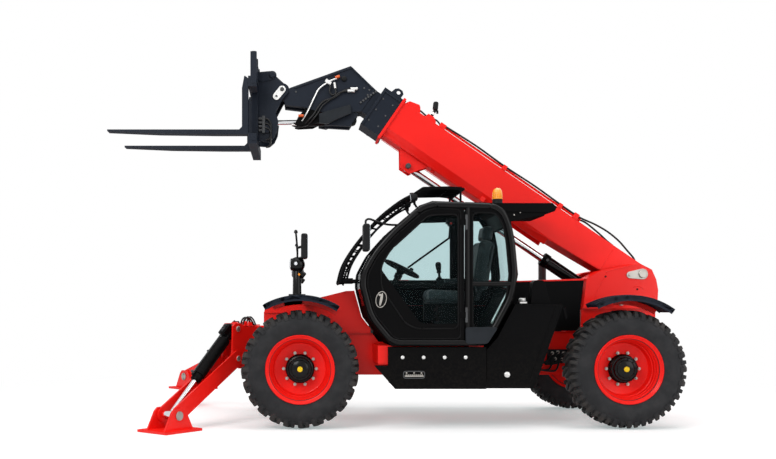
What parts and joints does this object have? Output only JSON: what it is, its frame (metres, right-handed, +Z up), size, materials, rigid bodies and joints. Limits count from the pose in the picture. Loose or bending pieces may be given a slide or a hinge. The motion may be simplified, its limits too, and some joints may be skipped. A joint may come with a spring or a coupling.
{
  "type": "telehandler",
  "caption": "Wheeled telescopic handler with a raised boom, pallet forks, side cab, four steered wheels and two front stabilizers.",
  "frame": {"origin": "on the ground, under the middle of the whole machine", "axes": "+X forward, +Y to the machine's left (the cab side), +Z up"},
  "size_m": [5.9903, 3.2297, 3.953],
  "materials": {
    "red_paint": "gloss",
    "rim_paint": "gloss",
    "black_paint": "satin",
    "dark_paint": "satin",
    "axle_paint": "satin",
    "cab_glass": "tinted",
    "seat_fabric": "woven",
    "dark_plastic": "moulded",
    "engine_iron": "cast",
    "amber_plastic": "clear",
    "chrome": "polished",
    "tyre": "dusty"
  },
  "bodies": {
    "chassis": {"chassis_frame": "red_paint", "frame_nose": "red_paint", "frame_wings": "red_paint", "stabilizer_mount_left": "red_paint", "stabilizer_mount_right": "red_paint", "tow_jaw": "red_paint", "rear_tower": "red_paint", "axle_front": "axle_paint", "axle_rear": "axle_paint", "cab_frame": "black_paint", "cab_glass": "cab_glass", "seat": "seat_fabric", "steering_column": "dark_plastic", "roof_guard": "black_paint", "fenders": "dark_plastic", "engine_block": "engine_iron", "engine_pod": "black_paint", "fuel_tank": "black_paint", "side_panel": "black_paint", "lamps_mirrors": "dark_plastic", "beacon": "amber_plastic"},
    "boom": {"boom_outer": "red_paint", "boom_collar": "dark_paint"},
    "boom_inner": {"boom_inner": "dark_paint", "boom_head": "dark_paint"},
    "carriage": {"coupler": "dark_paint", "carriage": "dark_paint", "forks": "dark_paint"},
    "lift_barrel": {"lift_barrel": "dark_paint"},
    "lift_rod": {"lift_rod": "chrome"},
    "tilt_barrel": {"tilt_barrel": "dark_paint"},
    "tilt_rod": {"tilt_rod": "chrome"},
    "cab_door": {"cab_door": "black_paint", "door_glass": "cab_glass"},
    "engine_hood": {"engine_hood": "red_paint"},
    "knuckle_front_left": {"knuckle_front_left": "axle_paint"},
    "wheel_front_left": {"rim_front_left": "rim_paint", "tyre_front_left": "tyre"},
    "knuckle_front_right": {"knuckle_front_right": "axle_paint"},
    "wheel_front_right": {"rim_front_right": "rim_paint", "tyre_front_right": "tyre"},
    "knuckle_rear_left": {"knuckle_rear_left": "axle_paint"},
    "wheel_rear_left": {"rim_rear_left": "rim_paint", "tyre_rear_left": "tyre"},
    "knuckle_rear_right": {"knuckle_rear_right": "axle_paint"},
    "wheel_rear_right": {"rim_rear_right": "rim_paint", "tyre_rear_right": "tyre"},
    "leg_left": {"stabilizer_leg_left": "red_paint"},
    "pad_left": {"stabilizer_pad_left": "red_paint"},
    "leg_barrel_left": {"stabilizer_barrel_left": "dark_paint"},
    "leg_rod_left": {"stabilizer_rod_left": "chrome"},
    "leg_right": {"stabilizer_leg_right": "red_paint"},
    "pad_right": {"stabilizer_pad_right": "red_paint"},
    "leg_barrel_right": {"stabilizer_barrel_right": "dark_paint"},
    "leg_rod_right": {"stabilizer_rod_right": "chrome"}
  },
  "joints": [
    {"name": "boom_lift", "type": "hinge", "parent": "chassis", "child": "boom", "pos_m": [-2.735, 0, 1.587], "axis": [0, -1, 0], "range_deg": [-34, 33]},
    {"name": "telescope", "type": "slide", "parent": "boom", "child": "boom_inner", "axis": [0.8251, 0, 0.565], "range_m": [0, 2]},
    {"name": "fork_tilt", "type": "hinge", "parent": "boom_inner", "child": "carriage", "pos_m": [1.1389, 0, 3.63596], "axis": [0, 1, 0], "range_deg": [-35, 34]},
    {"name": "lift_barrel_turn", "type": "hinge", "parent": "chassis", "child": "lift_barrel", "pos_m": [-2.505, 0, 1.28], "axis": [0, -1, 0], "range_deg": [-35.26, 34.25]},
    {"name": "lift_rod_slide", "type": "slide", "parent": "lift_barrel", "child": "lift_rod", "axis": [0.8286, 0, 0.5599], "range_m": [-0.2205, 0.2141]},
    {"name": "tilt_barrel_turn", "type": "hinge", "parent": "boom_inner", "child": "tilt_barrel", "pos_m": [0.35844, 0, 3.3173], "axis": [0, -1, 0], "range_deg": [-5.12, 5.24]},
    {"name": "tilt_rod_slide", "type": "slide", "parent": "tilt_barrel", "child": "tilt_rod", "axis": [0.9998, 0, -0.0192], "range_m": [-0.1892, 0.1948]},
    {"name": "steer_front_left", "type": "hinge", "parent": "chassis", "child": "knuckle_front_left", "pos_m": [0.945, 0.8, 0.6], "axis": [0, 0, 1], "range_deg": [-30, 30]},
    {"name": "spin_front_left", "type": "hinge", "parent": "knuckle_front_left", "child": "wheel_front_left", "pos_m": [0.945, 0.97, 0.6], "axis": [0, 1, 0], "continuous": true},
    {"name": "steer_front_right", "type": "hinge", "parent": "chassis", "child": "knuckle_front_right", "pos_m": [0.945, -0.8, 0.6], "axis": [0, 0, 1], "range_deg": [-30, 30]},
    {"name": "spin_front_right", "type": "hinge", "parent": "knuckle_front_right", "child": "wheel_front_right", "pos_m": [0.945, -0.97, 0.6], "axis": [0, 1, 0], "continuous": true},
    {"name": "steer_rear_left", "type": "hinge", "parent": "chassis", "child": "knuckle_rear_left", "pos_m": [-2.355, 0.8, 0.6], "axis": [0, 0, -1], "range_deg": [-30, 30]},
    {"name": "spin_rear_left", "type": "hinge", "parent": "knuckle_rear_left", "child": "wheel_rear_left", "pos_m": [-2.355, 0.97, 0.6], "axis": [0, 1, 0], "continuous": true},
    {"name": "steer_rear_right", "type": "hinge", "parent": "chassis", "child": "knuckle_rear_right", "pos_m": [-2.355, -0.8, 0.6], "axis": [0, 0, -1], "range_deg": [-30, 30]},
    {"name": "spin_rear_right", "type": "hinge", "parent": "knuckle_rear_right", "child": "wheel_rear_right", "pos_m": [-2.355, -0.97, 0.6], "axis": [0, 1, 0], "continuous": true},
    {"name": "door_swing", "type": "hinge", "parent": "chassis", "child": "cab_door", "pos_m": [-0.708, 1.1583, 1.5], "axis": [0, 0, 1], "range_deg": [0, 100]},
    {"name": "hood_lift", "type": "hinge", "parent": "chassis", "child": "engine_hood", "pos_m": [-0.755, -0.392, 1.542], "axis": [-1, 0, 0], "range_deg": [0, 55]},
    {"name": "leg_left_raise", "type": "hinge", "parent": "chassis", "child": "leg_left", "pos_m": [1.68, 0.6, 0.69], "axis": [0.766, -0.6428, 0], "range_deg": [0, 85]},
    {"name": "leg_left_barrel_turn", "type": "hinge", "parent": "chassis", "child": "leg_barrel_left", "pos_m": [1.66072, 0.57702, 1], "axis": [0.766, -0.6428, 0], "range_deg": [-1, 79.36]},
    {"name": "leg_left_rod_slide", "type": "slide", "parent": "leg_barrel_left", "child": "leg_rod_left", "axis": [0.4675, 0.5571, -0.6864], "range_m": [-0.409, 0.005]},
    {"name": "pad_left_tilt", "type": "hinge", "parent": "leg_left", "child": "pad_left", "pos_m": [2.2328, 1.2588, 0.16], "axis": [0.766, -0.6428, 0], "range_deg": [-20, 20]},
    {"name": "leg_right_raise", "type": "hinge", "parent": "chassis", "child": "leg_right", "pos_m": [1.68, -0.6, 0.69], "axis": [-0.766, -0.6428, 0], "range_deg": [-13, 72]},
    {"name": "leg_right_barrel_turn", "type": "hinge", "parent": "chassis", "child": "leg_barrel_right", "pos_m": [1.66072, -0.57702, 1], "axis": [-0.766, -0.6428, 0], "range_deg": [-13.35, 69.4]},
    {"name": "leg_right_rod_slide", "type": "slide", "parent": "leg_barrel_right", "child": "leg_rod_right", "axis": [0.5411, -0.6449, -0.5398], "range_m": [-0.359, 0.0689]},
    {"name": "pad_right_tilt", "type": "hinge", "parent": "leg_right", "child": "pad_right", "pos_m": [2.29527, -1.33324, 0.36704], "axis": [-0.766, -0.6428, 0], "range_deg": [-20, 20]}
  ],
  "couplings": [
    {"joint": "fork_tilt", "follows": "boom_lift", "ratio": 1},
    {"joint": "lift_barrel_turn", "follows": "boom_lift", "ratio": 1.0077},
    {"joint": "lift_rod_slide", "follows": "boom_lift", "m_per_rad": 0.3631},
    {"joint": "tilt_barrel_turn", "follows": "boom_lift", "ratio": -0.1247},
    {"joint": "tilt_rod_slide", "follows": "boom_lift", "m_per_rad": -0.3198},
    {"joint": "steer_front_right", "follows": "steer_front_left", "ratio": 1},
    {"joint": "steer_rear_right", "follows": "steer_rear_left", "ratio": 1},
    {"joint": "leg_left_barrel_turn", "follows": "leg_left_raise", "ratio": 0.9219},
    {"joint": "leg_left_rod_slide", "follows": "leg_left_raise", "m_per_rad": -0.2723},
    {"joint": "leg_right_barrel_turn", "follows": "leg_right_raise", "ratio": 0.95},
    {"joint": "leg_right_rod_slide", "follows": "leg_right_raise", "m_per_rad": -0.2817}
  ]
}
